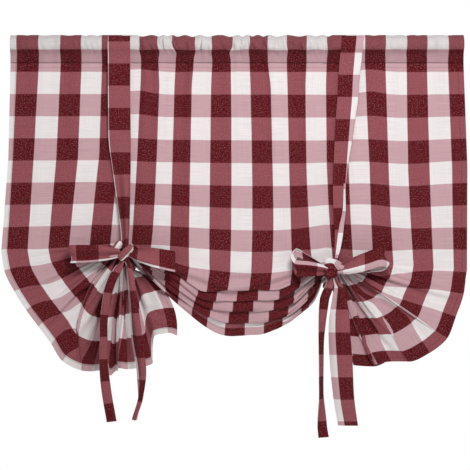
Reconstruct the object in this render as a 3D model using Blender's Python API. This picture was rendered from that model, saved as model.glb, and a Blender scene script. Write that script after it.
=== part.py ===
"""Tie-up window valance: a gathered panel on a rod pocket, with two pairs of straps tied in bows.

The panel is one sheet. Its place is worked out from (u, v), the way across and down the flat
cloth, by five stations: left side edge, left bunch, middle, right bunch, right side edge.
Fold number t counts the creases from the first tuck: odd ones face front, even ones face back.
All tables are in millimetres; the front faces -Y and z 0 is the top edge of the pocket.
"""

import bpy
import numpy as np

MM = 0.001
WIDTH = 1147.0
DROP = 1265.0
POCKET = 63.0
PANEL_THICK = 1.0
STRAP_THICK = 1.2
SEAM_GAP = 0.3
FOLDS = 14
BUNCH_HALF = 12.0
KNOT_LEFT = (-251.0, -492.0)
KNOT_RIGHT = (214.0, -531.0)

# Way across the cloth, against where it hangs at the pocket, half way down, and at the knots.
ACROSS_U = [0, 14, 114, 214, 314, 414, 514, 614, 714, 814, 914, 1014, 1114, 1147]
TOP_X = [-510, -496, -397, -304, -216, -138, -56, 28, 112, 202, 288, 382, 475, 510]
MID_X = [-515, -505, -407, -311, -226, -144, -59, 34, 117, 204, 298, 385, 484, 519]
LOW_X = [-531, -518, -427, -336, -239, -150, -62, 40, 124, 214, 301, 394, 485, 518]

# Side edges: v, x, z and depth along each.
LEFT_EDGE = [
    (489, -531, -489, 0), (533, -524, -530, -2), (583, -501, -577, -5), (633, -475, -619, -2),
    (683, -447, -656, -5), (733, -418, -696, -1), (783, -393, -734, -4), (833, -350, -756, 12),
    (860, -337, -757, -2), (883, -326, -757, -10), (908, -313, -756, 6), (933, -298, -757, 20),
    (958, -286, -768, 28), (983, -277, -760, 22), (1008, -268, -754, 8), (1033, -266, -750, -8),
    (1058, -262, -750, -16), (1083, -247, -752, -10), (1108, -238, -752, -2), (1133, -224, -750, 4),
    (1160, -203, -745, -4), (1183, -190, -738, 6), (1200, -190, -700, 14), (1215, -186, -678, 4),
    (1233, -155, -671, -2), (1265, -135, -677, 0),
]
RIGHT_EDGE = [
    (529, 518, -530, 0), (533, 517, -534, -1), (583, 510, -583, -5), (633, 493, -634, -1),
    (683, 475, -680, -4), (733, 434, -716, 0), (783, 390, -735, -4), (833, 347, -736, 8),
    (883, 310, -741, -5), (908, 329, -741, 13), (933, 309, -747, 6), (983, 262, -743, -5),
    (1040, 298, -738, 17), (1090, 270, -736, 20), (1150, 302, -730, 31), (1205, 275, -716, 37),
    (1265, 298, -700, 46),
]
LEFT_CREASE_V = [489, 588, 612, 690, 708, 783, 840, 885, 958, 1055, 1118, 1160, 1195, 1222, 1265]
RIGHT_CREASE_V = [529, 588, 612, 683, 708, 783, 833, 880, 908, 985, 1040, 1090, 1150, 1205, 1265]

# Middle of the swag at each crease: v, z and depth.
SWAG = [
    (540, -540, -10), (577, -575, -7), (613, -541, -2), (676, -599, 2), (707, -569, 6),
    (763, -623, 10), (797, -590, 14), (863, -649, 18), (899, -617, 22), (957, -679, 26),
    (1063, -585, 30), (1120, -640, 34), (1165, -598, 38), (1215, -645, 42), (1265, -640, 46),
]
SWAG_ROUND = [1.1, 1.0, 0.95, 0.75, 0.75, 0.55, 0.6, 0.42, 0.5, 0.36, 0.5, 0.6, 0.8, 0.8, 1.0]

# Bunch under each knot: depth of each crease, and the fan side's stack, outwards and up.
BUNCH_DEPTH = [3, -9, 8, -15, 8, -17, 8, -16, 4, -8, 28, 15, 32, 19, 36]
FAN_STACK_T = [0, 3, 6, 8, 10, 12, 14]
FAN_STACK_OUT = [12, 13, 13, 9, 4, -1, -6]
FAN_STACK_UP = [23, 12, 0, -8, -14.5, -20, -26]
SWAG_STACK_UP = (23, -22)
LEFT_DRAWN_U = (300, 215)
RIGHT_DRAWN_U = (812, 925)


def smooth(x, xs, ys):
    """Monotone cubic through the points (xs, ys), held flat past the ends."""
    xs, ys = np.asarray(xs, float), np.asarray(ys, float)
    x = np.clip(x, xs[0], xs[-1])
    step = np.diff(xs)
    slope = np.diff(ys) / step
    both = slope[:-1] * slope[1:]
    inner = np.where(both > 0, 2 * both / np.where(both > 0, slope[:-1] + slope[1:], 1), 0)
    tangent = np.concatenate([[slope[0]], inner, [slope[-1]]])
    i = np.clip(np.searchsorted(xs, x, side="right") - 1, 0, len(step) - 1)
    f = (x - xs[i]) / step[i]
    g = 1 - f
    return (
        g * g * (1 + 2 * f) * ys[i] + f * f * (3 - 2 * f) * ys[i + 1]
        + step[i] * f * g * (g * tangent[i] - f * tangent[i + 1])
    )


def column(table, i):
    return [row[i] for row in table]


def stack_steps(t):
    """Fold number held level between creases and stepped at each, so bunched layers lie apart."""
    near = t - np.round(t)
    return np.round(t) + np.clip(near / 0.18, -1, 1) * 0.5


def crease_depth(t, table):
    """Depth that swings from crease to crease, held at each crease while the stack steps."""
    k = np.clip(np.floor(t), 0, FOLDS - 1).astype(int)
    f = np.clip((t - k - 0.1) / 0.8, 0, 1)
    table = np.asarray(table, float)
    return table[k] + (table[k + 1] - table[k]) * f * f * (3 - 2 * f)


def bunch_points(t, knot, fan_side):
    """The two ends of a row's short way through a bunch: (fan side, swag side), each x, y, z."""
    held = np.clip(stack_steps(t), 0, FOLDS)
    depth = crease_depth(t, BUNCH_DEPTH)
    fan_x = knot[0] + fan_side * smooth(held, FAN_STACK_T, FAN_STACK_OUT)
    fan_z = knot[1] + smooth(held, FAN_STACK_T, FAN_STACK_UP)
    swag_x = np.full_like(t, knot[0] - fan_side * BUNCH_HALF)
    swag_z = knot[1] + SWAG_STACK_UP[0] + (SWAG_STACK_UP[1] - SWAG_STACK_UP[0]) * held / FOLDS
    return np.stack([fan_x, depth, fan_z], -1), np.stack([swag_x, depth, swag_z], -1)


def drawn_u(t, ends):
    return ends[0] + (ends[1] - ends[0]) * t / FOLDS


def wing(t, s, edge, crease_v, bunch):
    """A fan: straight rows from the bunch (s 0) to the side edge (s 1), pleats easing outwards."""
    v = smooth(t, np.arange(FOLDS + 1), crease_v)
    end = np.stack([smooth(v, column(edge, 0), column(edge, i)) for i in (1, 3, 2)], -1)
    start = bunch[:, None, :]
    place = start + (end[:, None, :] - start) * s[None, :, None]
    ease = (1 - s[None, :]) ** 0.8
    place[..., 1] = start[..., 1] * ease + end[:, None, 1] * (1 - ease)
    return place


def swag(t, s, left, right):
    """Rows hung from bunch to bunch, shared out evenly along each row's own curve."""
    k = np.arange(FOLDS + 1)
    low = smooth(t, k, column(SWAG, 1))
    depth = smooth(np.clip(stack_steps(t), 0, FOLDS), k, column(SWAG, 2))
    roundness = smooth(t, k, SWAG_ROUND)[:, None]
    q = np.linspace(-1, 1, 81)[None, :]
    top = np.sqrt(1 + roundness**2)
    sag = (top - np.sqrt(q**2 + roundness**2)) / (top - roundness)
    way = (q + 1) / 2
    chord = left[:, None, :] * (1 - way[..., None]) + right[:, None, :] * way[..., None]
    x = chord[..., 0]
    middle = (left[:, 2] + right[:, 2])[:, None] / 2
    z = chord[..., 2] + (low[:, None] - middle) * sag
    y = chord[..., 1] * (1 - sag) + depth[:, None] * sag
    run = np.concatenate([np.zeros((len(t), 1)), np.cumsum(np.hypot(np.diff(x), np.diff(z)), 1)], 1)
    out = np.empty((len(t), len(s), 3))
    for row in range(len(t)):
        share = run[row] / run[row, -1]
        for axis, values in enumerate((x, y, z)):
            out[row, :, axis] = np.interp(s, share, values[row])
    return out


def hanging_x(u, drop):
    """Place across at u, a share drop of the way from the pocket to the first fold."""
    rows = [smooth(u, ACROSS_U, xs) for xs in (TOP_X, MID_X, LOW_X)]
    far = np.clip(drop, 0, 1)
    return np.where(
        far < 0.5,
        rows[0] + (rows[1] - rows[0]) * far * 2,
        rows[1] + (rows[2] - rows[1]) * (far * 2 - 1),
    )


def gather_wave(u, v):
    """Soft upright folds under the pocket, deepest between the straps, fading downwards."""
    between = np.exp(-(((u - 560) / 300) ** 4))
    amount = (1.6 + 3.0 * between) * np.clip(1.15 - v / 620, 0, 1)
    phase = u / 100 * 2 * np.pi
    return amount * (np.sin(phase + 0.6 * np.sin(u / 170)) + 0.35 * np.sin(2.3 * phase + 1))


def panel_grid(hang, folds, wing_s, swag_s):
    """Mid surface and flat coordinates of the panel, rows down and columns across."""
    t = np.concatenate([[0.0], folds])
    left_fan, left_swag = bunch_points(t, KNOT_LEFT, -1)
    right_fan, right_swag = bunch_points(t, KNOT_RIGHT, 1)
    place = np.concatenate([
        wing(t, wing_s, LEFT_EDGE, LEFT_CREASE_V, left_fan)[:, ::-1],
        swag(t, swag_s, left_swag, right_swag),
        wing(t, wing_s, RIGHT_EDGE, RIGHT_CREASE_V, right_fan),
    ], 1)
    k = np.arange(FOLDS + 1)
    left_v, right_v = smooth(t, k, LEFT_CREASE_V), smooth(t, k, RIGHT_CREASE_V)
    swag_v = smooth(t, k, column(SWAG, 0))
    left_u, right_u = drawn_u(t, LEFT_DRAWN_U), drawn_u(t, RIGHT_DRAWN_U)
    near_left, near_right = (left_v + swag_v) / 2, (right_v + swag_v) / 2
    near_left[0] = near_left[0] - 36
    ends = ((left_u - BUNCH_HALF)[:, None], (right_u + BUNCH_HALF)[:, None])
    mid = (left_u + BUNCH_HALF)[:, None] + (right_u - left_u - 2 * BUNCH_HALF)[:, None] * swag_s
    rise = np.cos((swag_s - 0.5) * np.pi)[None, :]
    knots_v = near_left[:, None] * (1 - swag_s) + near_right[:, None] * swag_s
    u = np.concatenate([
        ends[0] * (1 - wing_s[::-1]), mid, ends[1] + (WIDTH - ends[1]) * wing_s,
    ], 1)
    v = np.concatenate([
        near_left[:, None] + (left_v - near_left)[:, None] * wing_s[::-1],
        knots_v + (swag_v[:, None] - knots_v) * rise,
        near_right[:, None] + (right_v - near_right)[:, None] * wing_s,
    ], 1)
    drop = hang[:, None]
    foot = place[:1]
    hung_u = np.repeat(u[:1], len(hang), 0)
    hung_v = POCKET + (v[:1] - POCKET) * drop
    shift = foot[..., 0] - hanging_x(u[:1], 1.0)
    x = hanging_x(hung_u, drop) + shift * drop**3
    y = gather_wave(hung_u, hung_v) + (foot[..., 1] - gather_wave(u[:1], v[:1])) * drop**4
    z = -hung_v + (foot[..., 2] + v[:1]) * drop**3
    above = np.stack([x, y, z], -1)
    flat = np.stack([u, v], -1)
    hung_flat = np.stack([hung_u, hung_v], -1)
    return np.concatenate([above, place[1:]]), np.concatenate([hung_flat, flat[1:]])


def bisectors(grid, axis):
    """Mean of the unit steps into and out of each point, along one axis of a grid."""
    step = np.diff(grid, axis=axis)
    step /= np.linalg.norm(step, axis=-1, keepdims=True) + 1e-12
    first, last = np.take(step, [0], axis), np.take(step, [-1], axis)
    return (np.concatenate([first, step], axis) + np.concatenate([step, last], axis)) / 2


def normals(grid):
    """Normals of a grid, longer where rows turn sharply, so that an offset keeps its thickness."""
    down, across = bisectors(grid, 0), bisectors(grid, 1)
    n = np.cross(across, down)
    n /= np.linalg.norm(n, axis=-1, keepdims=True) + 1e-12
    return n / np.clip(np.linalg.norm(down, axis=-1), 0.9, 1)[..., None]


def fabric(name, colour, roughness=0.9):
    material = bpy.data.materials.new(name)
    material.use_nodes = True
    shader = material.node_tree.nodes["Principled BSDF"]
    shader.inputs["Base Color"].default_value = (*colour, 1)
    shader.inputs["Roughness"].default_value = roughness
    shader.inputs["Metallic"].default_value = 0
    return material


def add_mesh(name, points, faces, material):
    mesh = bpy.data.meshes.new(name)
    mesh.from_pydata((np.asarray(points) * MM).tolist(), [], np.asarray(faces).tolist())
    mesh.validate()
    mesh.materials.append(material)
    bpy.context.scene.collection.objects.link(bpy.data.objects.new(name, mesh))


def quads(index):
    return np.stack([index[:-1, :-1], index[1:, :-1], index[1:, 1:], index[:-1, 1:]], -1).reshape(-1, 4)


def halves(faces):
    """Quads as triangles, all cut the same way, so that the two sides of a thin wall stay parallel."""
    return np.concatenate([faces[:, [0, 1, 2]], faces[:, [0, 2, 3]]])


def rim(front, back):
    """The band of faces that joins the edges of two grids of point numbers."""
    def around(grid):
        return np.concatenate([grid[0, :-1], grid[:-1, -1], grid[-1, :0:-1], grid[:0:-1, 0]])
    a, b = around(front), around(back)
    return np.stack([a, np.roll(a, -1), np.roll(b, -1), b], -1)


def sheet(name, grid, thick, material):
    """A closed sheet of even thickness about a grid of mid points."""
    rows, columns = grid.shape[:2]
    off = normals(grid) * thick / 2
    front = np.arange(rows * columns).reshape(rows, columns)
    back = front + rows * columns
    points = np.concatenate([(grid + off).reshape(-1, 3), (grid - off).reshape(-1, 3)])
    faces = np.concatenate([halves(quads(front)), halves(quads(back))[:, ::-1], halves(rim(front, back))])
    corner = points[faces]
    volume = np.einsum("ij,ij->i", corner[:, 0], np.cross(corner[:, 1], corner[:, 2])).sum()
    add_mesh(name, points, faces if volume > 0 else faces[:, ::-1], material)


def ribbon(stations, rows, across=5):
    """Grid of a strap from stations (x, y, z, width vector x, y, z, cupping), all in mm."""
    stations = np.asarray(stations, float)
    step = np.linalg.norm(np.diff(stations[:, :3], axis=0), axis=1)
    run = np.concatenate([[0], np.cumsum(step)])
    at = np.interp(np.linspace(0, len(run) - 1, rows), np.arange(len(run)), run)
    line = np.stack([smooth(at, run, stations[:, i]) for i in range(7)], -1)
    along = np.gradient(line[:, :3], axis=0)
    out = np.cross(along, line[:, 3:6])
    out /= np.linalg.norm(out, axis=1, keepdims=True)
    a = np.linspace(-0.5, 0.5, across)
    cup = line[:, None, 6] * (1 - 4 * a**2)[None, :]
    return line[:, None, :3] + line[:, None, 3:6] * a[None, :, None] + out[:, None, :] * cup[..., None]


for old in list(bpy.data.objects):
    bpy.data.objects.remove(old, do_unlink=True)

check_cloth = fabric("woven_cotton_check", (0.45, 0.12, 0.14))
strap_cloth = fabric("woven_cotton_strap", (0.33, 0.06, 0.08))
knot_cloth = fabric("woven_cotton_knot", (0.4, 0.1, 0.12))

# Panel, with three rows to each half fold.
hang_rows = np.linspace(0, 1, 9)
fold_rows = np.sort(np.concatenate([np.arange(FOLDS)[:, None] + [0.18, 0.5, 0.82]], None).ravel())
fold_rows = np.append(fold_rows, FOLDS)
wing_columns = np.array([0, 0.1, 0.22, 0.36, 0.5, 0.64, 0.78, 0.9, 1.0])
swag_columns = (1 - np.cos(np.linspace(0, np.pi, 15))) / 2 * 0.5 + np.linspace(0, 1, 15) * 0.5
panel, _ = panel_grid(hang_rows, fold_rows, wing_columns, swag_columns)
panel[0, :, 2] = -POCKET - SEAM_GAP
sheet("panel", panel, PANEL_THICK, check_cloth)


# Rod pocket: one wall all round, open at both ends, closed along the stitch line at its foot.
ROD_HALF = [(-63, 2.4), (-55, 2.8), (-47, 4.5), (-39, 9), (-31, 13), (-21, 15), (-12, 14), (-4, 8), (0, 0)]
STRAP_TOP_X = (-265.0, 260.0)
POCKET_THICK = 1.2


def pocket_bulge(x):
    """How far the gathers stand out past the rod, even behind the straps."""
    away = np.ones_like(x)
    for strap in STRAP_TOP_X:
        away = away * (1 - np.exp(-(((x - strap) / 54) ** 6)))
    return 2.0 + away * (1.8 + 1.6 * np.sin(x / 14) + 0.8 * np.sin(x / 8.3 + 1))


def pocket_grid(u, outset):
    """Rows go up the front and down the back, a distance outset from the wall's middle."""
    x = smooth(u, ACROSS_U, TOP_X)
    heights = np.array(column(ROD_HALF, 0), float)
    halves = np.array(column(ROD_HALF, 1), float)
    front = np.stack([-halves, heights], -1)
    back = np.stack([halves, heights], -1)[::-1]
    loop = np.concatenate([front, back[1:]])
    away = np.gradient(loop, axis=0)
    away = np.stack([-away[:, 1], away[:, 0]], -1)
    away /= np.linalg.norm(away, axis=1, keepdims=True)
    swell = np.exp(-(((loop[:, 1] + 20) / 17) ** 4))[:, None] * pocket_bulge(x)[None, :]
    low = np.clip(-loop[:, 1] / POCKET, 0, 1)[:, None] ** 3 * gather_wave(u, np.full_like(u, POCKET))
    across = np.repeat(x[None, :], len(loop), 0)
    y = loop[:, :1] + away[:, :1] * (outset + swell) + low
    z = loop[:, 1:] + away[:, 1:] * np.where(loop[:, 1:] < -POCKET + 1, 0, outset) + 0 * x
    return np.stack([across, y, np.minimum(z, 0)], -1)


def add_pocket():
    u = np.linspace(0, WIDTH, 45)
    half = POCKET_THICK / 2
    outer = pocket_grid(u, half)
    inner = pocket_grid(u, -half)
    outer[..., 2] = np.minimum(outer[..., 2], 0)
    inner[..., 2] = np.where(inner[..., 2] > -1.2, -1.2, inner[..., 2])
    foot_front, foot_back = outer[:1].copy(), outer[-1:].copy()
    inner_loop = np.concatenate([inner[:1], inner[1:-1], inner[-1:]])
    inner_loop[0, :, 2] = -POCKET + 2.0
    inner_loop[-1, :, 2] = -POCKET + 2.0
    foot = (foot_front + foot_back) / 2
    outer_ring = np.concatenate([outer, foot])
    inner_foot = (inner_loop[:1] + inner_loop[-1:]) / 2
    inner_ring = np.concatenate([inner_loop, inner_foot])
    rings, columns = outer_ring.shape[:2]
    count = rings * columns
    numbers = np.arange(count).reshape(rings, columns)
    wrap = np.concatenate([numbers, numbers[:1]])
    faces = [halves(quads(wrap))[:, ::-1], halves(quads(wrap + count))]
    for end in (0, -1):
        a, b = wrap[:, end], wrap[:, end] + count
        band = np.stack([a[:-1], a[1:], b[1:], b[:-1]], -1)
        faces.append(halves(band if end == 0 else band[:, ::-1]))
    points = np.concatenate([outer_ring.reshape(-1, 3), inner_ring.reshape(-1, 3)])
    faces = np.concatenate(faces)
    corner = points[faces]
    volume = np.einsum("ij,ij->i", corner[:, 0], np.cross(corner[:, 1], corner[:, 2])).sum()
    add_mesh("rod_pocket", points, faces if volume > 0 else faces[:, ::-1], check_cloth)


add_pocket()

# Knots are firm lumps with flat ends, so that straps, loops and tails meet them face to face.
KNOT_HALF = (11.0, 9.0, 12.0)
KNOT_Y = -37.0


def add_knot(name, knot):
    """A rounded barrel with four flat sides: a cube whose points are drawn in at its corners."""
    a = np.linspace(-1, 1, 7)
    one, two = np.meshgrid(a, a, indexing="ij")
    points, faces = [], []
    for axis in range(3):
        for side in (-1, 1):
            face = np.empty(one.shape + (3,))
            face[..., axis] = side
            face[..., (axis + 1) % 3] = one
            face[..., (axis + 2) % 3] = two
            start = len(points) * one.size
            numbers = np.arange(one.size).reshape(one.shape) + start
            points.append(face.reshape(-1, 3))
            faces.append(quads(numbers)[:, ::side])
    points = np.concatenate(points)
    outer = np.clip(np.abs(points) - 0.55, 0, None) / 0.45
    squeeze = np.linalg.norm(outer, axis=1) / np.maximum(outer.max(1), 1e-9)
    drawn = np.sign(points) * (np.minimum(np.abs(points), 0.55) + outer * 0.45 / np.maximum(squeeze, 1)[:, None])
    place = drawn * KNOT_HALF + np.array([knot[0], KNOT_Y, knot[1]])
    _, first, same = np.unique(np.round(points * 6).astype(int), axis=0, return_index=True, return_inverse=True)
    add_mesh(name, place[first], same.reshape(-1)[np.concatenate(faces)], knot_cloth)


def strap_front(knot, rows):
    """Down the front from the pocket's top; rows give z, x, width across, depth and cupping."""
    return [(x, y, z, width, 0, 0, cup) for z, x, width, y, cup in rows] + [
        (knot[0], KNOT_Y, knot[1] + KNOT_HALF[2] + 0.6, 16, 0, 0, 3),
    ]


LEFT_STRAP_ROWS = [
    (-3, -265, 50, -11, 0), (-10, -265, 50, -17.4, 0), (-21, -265, 50, -18.8, 0), (-31, -265, 50, -16.6, 0),
    (-42, -265, 50, -11.5, 0), (-55, -265, 50, -9, 0), (-100, -265, 50, -9, 0), (-220, -264, 50, -9, 0),
    (-330, -258, 36, -9, 4), (-430, -252, 20, -15, 6), (-462, -251, 16, -27, 4),
]
RIGHT_STRAP_ROWS = [
    (-3, 260, 50, -11, 0), (-10, 259, 50, -17.4, 0), (-21, 258, 50, -18.8, 0), (-31, 257, 50, -16.6, 0),
    (-42, 256, 50, -11.5, 0), (-55, 255, 50, -9, 0), (-100, 251, 49, -9, 0), (-190, 243, 46, -9, 0),
    (-290, 232, 34, -9, 3), (-400, 222, 28, -10, 5), (-470, 216, 20, -15, 6), (-502, 214, 16, -27, 4),
]
BACK_STRAP_DEPTH = 40.0


def strap_back(knot, top_x):
    """Down the back, under the hem beside the bunch and up its front to the knot's back face."""
    x, z = knot
    inward = 1 if x < 0 else -1
    return [
        (top_x, 11, -3, inward * 50, 0, 0, 0), (top_x, 17.4, -10, inward * 50, 0, 0, 0),
        (top_x, 18.8, -21, inward * 50, 0, 0, 0), (top_x, 16.6, -31, inward * 50, 0, 0, 0),
        (top_x, 11.5, -42, inward * 50, 0, 0, 0), (top_x, 9, -55, inward * 50, 0, 0, 0),
        (top_x, 9, -110, inward * 50, 0, 0, 0),
        (top_x, 12, -250, inward * 46, 0, 0, 0), (x, 28, z + 90, inward * 30, 0, 0, 0),
        (x, BACK_STRAP_DEPTH, z + 25, inward * 16, 0, 0, 0), (x + inward * 6, 43, z - 8, inward * 11, 0, -8, 0),
        (x + inward * 17, 40, z - 31, inward * 9, 0, -11, 0), (x + inward * 17, 25, z - 34, inward * 9, 0, -11, 0),
        (x + inward * 17, -10, z - 34, inward * 9, 0, -11, 0), (x + inward * 15, -25, z - 31, inward * 9, 0, -10, 0),
        (x + inward * 5, -27, z - 15, inward * 12, 0, -7, 0), (x, -27, z + 4, inward * 14, 0, 0, 0),
    ]


def loop_stations(knot, side, reach, drop, height, rise=0.0):
    """One bow loop: out from the knot's side, round at the end, and back in front."""
    x0 = knot[0] + side * (KNOT_HALF[0] + 0.3)
    z0 = knot[1] + rise
    out = []
    for share, depth, tall in [
        (0, 4.5, 0.42), (0.25, 7, 0.75), (0.6, 9, 0.95), (0.9, 7, 1), (1, 0, 1),
        (0.9, -7, 1), (0.6, -9, 0.95), (0.25, -7, 0.75), (0, -4.5, 0.42),
    ]:
        x = x0 + side * share * (reach - KNOT_HALF[0])
        out.append((x, KNOT_Y + depth, z0 + drop * share, 0, 0, height * tall, 0))
    return out


def tail_stations(knot, side, rows):
    """A free end from the knot's foot; rows give x and z from the knot, depth, width x and y, cupping."""
    out = [(knot[0] + side * 5.5, KNOT_Y, knot[1] - KNOT_HALF[2] - 0.9, 9, 0, 0, 0)]
    out.append((knot[0] + side * 6, KNOT_Y, knot[1] - KNOT_HALF[2] - 6, 9, 1, 0, 0))
    return out + [(knot[0] + x, y, knot[1] + z, wx, wy, 0, cup) for x, z, y, wx, wy, cup in rows]


BOWS = {
    "left": {
        "knot": KNOT_LEFT, "strap": LEFT_STRAP_ROWS, "top": STRAP_TOP_X[0],
        "loops": [(-1, 128, -2, 40, 1), (1, 112, -14, 44, 2)],
        "tails": [
            (-1, [(-13, -32, -42, 11, 14, 2), (-24, -60, -48, 13, 26, 3), (-36, -90, -50, 14, 30, 5), (-50, -165, -46, 13, 34, 5),
                  (-50, -260, -44, 16, 34, 4), (-38, -335, -40, 16, 30, 3), (-28, -376, -38, 15, 26, 2)]),
            (1, [(12, -40, -50, 14, -26, 3), (20, -110, -52, 20, -30, 5), (26, -190, -50, 24, -32, 5),
                 (34, -270, -46, 16, -34, 4), (30, -320, -42, 10, -34, 3), (23, -372, -40, 4, -34, 2)]),
        ],
    },
    "right": {
        "knot": KNOT_RIGHT, "strap": RIGHT_STRAP_ROWS, "top": STRAP_TOP_X[1],
        "loops": [(-1, 88, 12, 42, 2), (1, 122, 14, 40, 2)],
        "tails": [
            (-1, [(-9, -32, -42, 12, 14, 2), (-17, -64, -49, 17, 30, 4), (-24, -170, -48, 6, 38, 4),
                  (-24, -270, -44, 6, 40, 3), (-22, -345, -40, 20, 30, 3), (-20, -372, -38, 22, 28, 2)]),
            (1, [(12, -40, -50, 26, -14, 3), (14, -120, -54, 46, -16, 5), (18, -200, -52, 50, -14, 5),
                 (24, -280, -48, 46, -10, 4), (34, -345, -42, 44, -8, 2)]),
        ],
    },
}

for side_name, bow in BOWS.items():
    knot = bow["knot"]
    add_knot(f"{side_name}_knot", knot)
    sheet(f"{side_name}_front_strap", ribbon(strap_front(knot, bow["strap"]), 23), STRAP_THICK, strap_cloth)
    sheet(f"{side_name}_back_strap", ribbon(strap_back(knot, bow["top"]), 35), STRAP_THICK, strap_cloth)
    for number, (side, reach, drop, height, rise) in enumerate(bow["loops"], 1):
        stations = loop_stations(knot, side, reach, drop, height, rise)
        sheet(f"{side_name}_loop_{number}", ribbon(stations, 22), STRAP_THICK, strap_cloth)
    for number, (side, rows) in enumerate(bow["tails"], 1):
        sheet(f"{side_name}_tail_{number}", ribbon(tail_stations(knot, side, rows), 16), STRAP_THICK, strap_cloth)
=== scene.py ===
"""Looks of a tie-up window valance in a burgundy and white woven check.

The cloth panel, its rod pocket, the straps, bows and tails are surfaces of two parameters,
worked out in millimetres from the same tables as the solids, with finer grids. Each carries its
flat cloth coordinates as a UV map in metres, so the woven check follows every fold.
The front faces -Y, and z 0 is the top edge of the pocket.
"""

import bpy
import numpy as np
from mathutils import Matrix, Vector


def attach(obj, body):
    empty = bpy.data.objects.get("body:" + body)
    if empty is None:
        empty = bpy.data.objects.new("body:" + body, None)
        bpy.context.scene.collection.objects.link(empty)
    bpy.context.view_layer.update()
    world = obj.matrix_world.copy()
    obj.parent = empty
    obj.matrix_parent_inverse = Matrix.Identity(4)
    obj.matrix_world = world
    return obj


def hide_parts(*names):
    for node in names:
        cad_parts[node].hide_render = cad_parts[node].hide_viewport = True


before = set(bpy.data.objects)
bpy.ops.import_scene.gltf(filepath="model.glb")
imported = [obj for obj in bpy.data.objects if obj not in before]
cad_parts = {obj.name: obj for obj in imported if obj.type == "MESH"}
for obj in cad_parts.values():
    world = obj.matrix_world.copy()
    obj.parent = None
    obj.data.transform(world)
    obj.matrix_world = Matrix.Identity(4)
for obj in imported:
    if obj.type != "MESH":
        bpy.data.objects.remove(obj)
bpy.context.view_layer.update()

MM = 0.001
WIDTH = 1147.0
POCKET = 63.0
PANEL_THICK = 1.0
POCKET_THICK = 1.2
STRAP_THICK = 1.2
SHARP_ANGLE = 1.2
FOLDS = 14
CREASES = np.arange(FOLDS + 1)
BUNCH_HALF = 12.0
KNOT_LEFT = (-251.0, -492.0)
KNOT_RIGHT = (214.0, -531.0)

# Way across the cloth, against where it hangs at the pocket, half way down, and at the knots.
ACROSS_U = [0, 14, 114, 214, 314, 414, 514, 614, 714, 814, 914, 1014, 1114, 1147]
TOP_X = [-510, -496, -397, -304, -216, -138, -56, 28, 112, 202, 288, 382, 475, 510]
MID_X = [-515, -505, -407, -311, -226, -144, -59, 34, 117, 204, 298, 385, 484, 519]
LOW_X = [-531, -518, -427, -336, -239, -150, -62, 40, 124, 214, 301, 394, 485, 518]

# Side edges: v, x, z and depth along each.
LEFT_EDGE = [
    (489, -531, -489, 0), (533, -524, -530, -2), (583, -501, -577, -5), (633, -475, -619, -2),
    (683, -447, -656, -5), (733, -418, -696, -1), (783, -393, -734, -4), (833, -350, -756, 12),
    (860, -337, -757, -2), (883, -326, -757, -10), (908, -313, -756, 6), (933, -298, -757, 20),
    (958, -286, -768, 28), (983, -277, -760, 22), (1008, -268, -754, 8), (1033, -266, -750, -8),
    (1058, -262, -750, -16), (1083, -247, -752, -10), (1108, -238, -752, -2), (1133, -224, -750, 4),
    (1160, -203, -745, -4), (1183, -190, -738, 6), (1200, -190, -700, 14), (1215, -186, -678, 4),
    (1233, -155, -671, -2), (1265, -135, -677, 0),
]
RIGHT_EDGE = [
    (529, 518, -530, 0), (533, 517, -534, -1), (583, 510, -583, -5), (633, 493, -634, -1),
    (683, 475, -680, -4), (733, 434, -716, 0), (783, 390, -735, -4), (833, 347, -736, 8),
    (883, 310, -741, -5), (908, 329, -741, 13), (933, 309, -747, 6), (983, 262, -743, -5),
    (1040, 298, -738, 17), (1090, 270, -736, 20), (1150, 302, -730, 31), (1205, 275, -716, 37),
    (1265, 298, -700, 46),
]
LEFT_CREASE_V = [489, 588, 612, 690, 708, 783, 840, 885, 958, 1055, 1118, 1160, 1195, 1222, 1265]
RIGHT_CREASE_V = [529, 588, 612, 683, 708, 783, 833, 880, 908, 985, 1040, 1090, 1150, 1205, 1265]

# Middle of the swag at each crease: v, z and depth.
SWAG = [
    (540, -540, -10), (577, -575, -7), (613, -541, -2), (676, -599, 2), (707, -569, 6),
    (763, -623, 10), (797, -590, 14), (863, -649, 18), (899, -617, 22), (957, -679, 26),
    (1063, -585, 30), (1120, -640, 34), (1165, -598, 38), (1215, -645, 42), (1265, -640, 46),
]
SWAG_ROUND = [1.1, 1.0, 0.95, 0.75, 0.75, 0.55, 0.6, 0.42, 0.5, 0.36, 0.5, 0.6, 0.8, 0.8, 1.0]

# Bunch under each knot: depth of each crease, and the fan side's stack, outwards and up.
BUNCH_DEPTH = [3, -9, 8, -15, 8, -17, 8, -16, 4, -8, 28, 15, 32, 19, 36]
FAN_STACK_T = [0, 3, 6, 8, 10, 12, 14]
FAN_STACK_OUT = [12, 13, 13, 9, 4, -1, -6]
FAN_STACK_UP = [23, 12, 0, -8, -14.5, -20, -26]
SWAG_STACK_UP = (23, -22)
# The cloth's u that each bunch draws in, at the first and at the last crease.
LEFT_DRAWN_U = (300, 215)
RIGHT_DRAWN_U = (812, 925)
# How much less cloth hangs above the left bunch than the mean of the rows on its two sides.
LEFT_SHORT = 36


def smooth(x, xs, ys):
    """Monotone cubic through the points (xs, ys), held flat past the ends."""
    xs, ys = np.asarray(xs, float), np.asarray(ys, float)
    x = np.clip(x, xs[0], xs[-1])
    step = np.diff(xs)
    slope = np.diff(ys) / step
    both = slope[:-1] * slope[1:]
    inner = np.where(both > 0, 2 * both / np.where(both > 0, slope[:-1] + slope[1:], 1), 0)
    tangent = np.concatenate([[slope[0]], inner, [slope[-1]]])
    i = np.clip(np.searchsorted(xs, x, side="right") - 1, 0, len(step) - 1)
    f = (x - xs[i]) / step[i]
    g = 1 - f
    return (
        g * g * (1 + 2 * f) * ys[i] + f * f * (3 - 2 * f) * ys[i + 1]
        + step[i] * f * g * (g * tangent[i] - f * tangent[i + 1])
    )


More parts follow.
